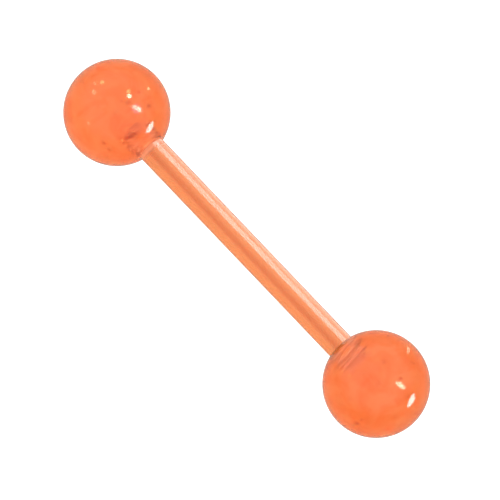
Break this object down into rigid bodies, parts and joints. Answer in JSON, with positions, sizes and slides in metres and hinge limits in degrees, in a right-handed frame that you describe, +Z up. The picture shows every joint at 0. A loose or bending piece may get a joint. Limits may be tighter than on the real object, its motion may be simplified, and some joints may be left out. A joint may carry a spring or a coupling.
{
  "type": "straight barbell",
  "caption": "Straight body-jewellery barbell: a plain round bar with a translucent screw-on ball at each end, lying on its side.",
  "frame": {"origin": "on the surface that the barbell lies on, under the middle of its bar", "axes": "+X along the bar's axis towards the right ball, +Z up; the bar's axis is 3 mm above the surface"},
  "size_m": [0.0276, 0.006, 0.006],
  "materials": {
    "bar_plastic": "flexible thermoplastic, translucent orange, smooth and glossy",
    "ball_acrylic": "cast acrylic, translucent bright orange with fine glitter in it, polished"
  },
  "bodies": {
    "bar": {"bar": "bar_plastic"},
    "left_ball": {"left_ball": "ball_acrylic"},
    "right_ball": {"right_ball": "ball_acrylic"}
  },
  "joints": [
    {"name": "left_ball_unscrew", "type": "slide", "parent": "bar", "child": "left_ball", "axis": [-1, 0, 0], "range_m": [0, 0.02]},
    {"name": "right_ball_unscrew", "type": "slide", "parent": "bar", "child": "right_ball", "axis": [1, 0, 0], "range_m": [0, 0.02]}
  ]
}
